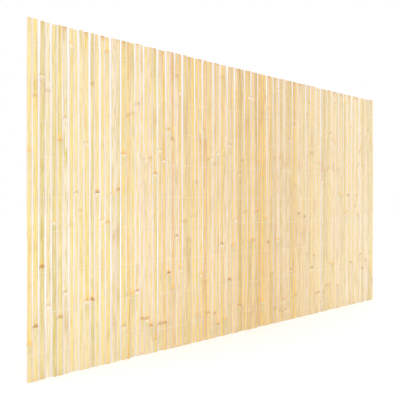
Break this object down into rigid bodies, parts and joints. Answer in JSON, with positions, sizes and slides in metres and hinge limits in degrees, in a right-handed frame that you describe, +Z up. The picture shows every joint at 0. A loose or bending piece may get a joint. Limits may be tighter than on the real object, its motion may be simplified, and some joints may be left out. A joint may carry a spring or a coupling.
{
  "type": "bamboo slat fence",
  "caption": "Upright screening fence of thin split-bamboo slats, held side by side by rows of twined thread.",
  "frame": {"origin": "middle of the bottom edge, on the ground line, midway through the fence's thickness", "axes": "+Z up along the slats, +X along the fence, and the slats' skin faces -Y"},
  "size_m": [2.0059, 0.006, 1],
  "materials": {
    "split_bamboo": "satin",
    "tie_thread": "matte"
  },
  "bodies": {
    "root": {"slat_bunch_01": "split_bamboo", "slat_bunch_02": "split_bamboo", "slat_bunch_03": "split_bamboo", "slat_bunch_04": "split_bamboo", "slat_bunch_05": "split_bamboo", "slat_bunch_06": "split_bamboo", "slat_bunch_07": "split_bamboo", "slat_bunch_08": "split_bamboo", "slat_bunch_09": "split_bamboo", "slat_bunch_10": "split_bamboo", "slat_bunch_11": "split_bamboo", "slat_bunch_12": "split_bamboo", "slat_bunch_13": "split_bamboo", "slat_bunch_14": "split_bamboo", "slat_bunch_15": "split_bamboo", "slat_bunch_16": "split_bamboo", "slat_bunch_17": "split_bamboo", "slat_bunch_18": "split_bamboo", "slat_bunch_19": "split_bamboo", "slat_bunch_20": "split_bamboo", "slat_bunch_21": "split_bamboo", "slat_bunch_22": "split_bamboo", "slat_bunch_23": "split_bamboo", "slat_bunch_24": "split_bamboo", "slat_bunch_25": "split_bamboo", "slat_bunch_26": "split_bamboo", "slat_bunch_27": "split_bamboo", "slat_bunch_28": "split_bamboo", "slat_bunch_29": "split_bamboo", "slat_bunch_30": "split_bamboo", "slat_bunch_31": "split_bamboo", "slat_bunch_32": "split_bamboo", "slat_bunch_33": "split_bamboo", "slat_bunch_34": "split_bamboo", "slat_bunch_35": "split_bamboo", "slat_bunch_36": "split_bamboo", "slat_bunch_37": "split_bamboo", "slat_bunch_38": "split_bamboo", "slat_bunch_39": "split_bamboo", "slat_bunch_40": "split_bamboo", "slat_bunch_41": "split_bamboo", "slat_bunch_42": "split_bamboo", "slat_bunch_43": "split_bamboo", "slat_bunch_44": "split_bamboo", "tie_row_1": "tie_thread", "tie_row_2": "tie_thread", "tie_row_3": "tie_thread", "tie_row_4": "tie_thread", "tie_row_5": "tie_thread", "tie_row_6": "tie_thread", "tie_row_7": "tie_thread", "tie_row_8": "tie_thread", "tie_row_9": "tie_thread"}
  },
  "joints": []
}
